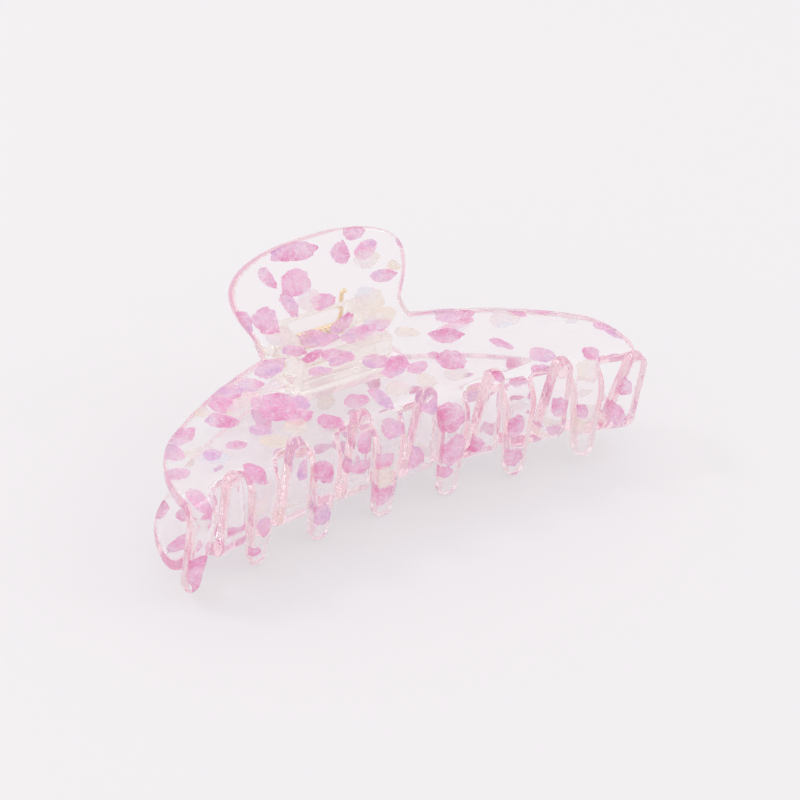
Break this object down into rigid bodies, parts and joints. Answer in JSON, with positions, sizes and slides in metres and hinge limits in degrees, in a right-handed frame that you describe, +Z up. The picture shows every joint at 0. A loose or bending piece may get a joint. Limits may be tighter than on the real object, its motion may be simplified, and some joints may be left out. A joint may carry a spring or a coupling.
{
  "type": "claw clip",
  "caption": "Large French-style claw clip for hair: two bent clear flaked jaws with thumb tabs and interleaved teeth, sprung together on a hinge pin.",
  "frame": {"origin": "middle of the closed clip's footprint, on the surface that it lies on", "axes": "+X along the hinge axis and the row of teeth, teeth toward -Y, thumb tabs toward +Y, +Z up from the surface"},
  "size_m": [0.11, 0.0594, 0.0478],
  "materials": {
    "clear_flaked_sheet": "clear cast sheet with flakes inside, polished",
    "clear_resin": "clear, polished",
    "pink_flake": "thin magenta and lilac flakes with a soft sheen",
    "pearl_flake": "thin cream and iridescent white flakes",
    "gold_metal": "gold-plated wire, drawn"
  },
  "bodies": {
    "lower_jaw": {"lower_half": "clear_flaked_sheet", "lower_hinge_block": "clear_resin", "hinge_pin": "gold_metal", "torsion_spring": "gold_metal"},
    "upper_jaw": {"upper_half": "clear_flaked_sheet", "upper_hinge_block": "clear_resin"}
  },
  "joints": [
    {"name": "jaw_hinge", "type": "hinge", "parent": "lower_jaw", "child": "upper_jaw", "pos_m": [0, 0.0156, 0.02258], "axis": [-1, 0, 0], "range_deg": [0, 60], "stiffness_Nm_per_rad": 0.08, "springref_deg": -28.65, "deforming": ["torsion_spring"]}
  ]
}
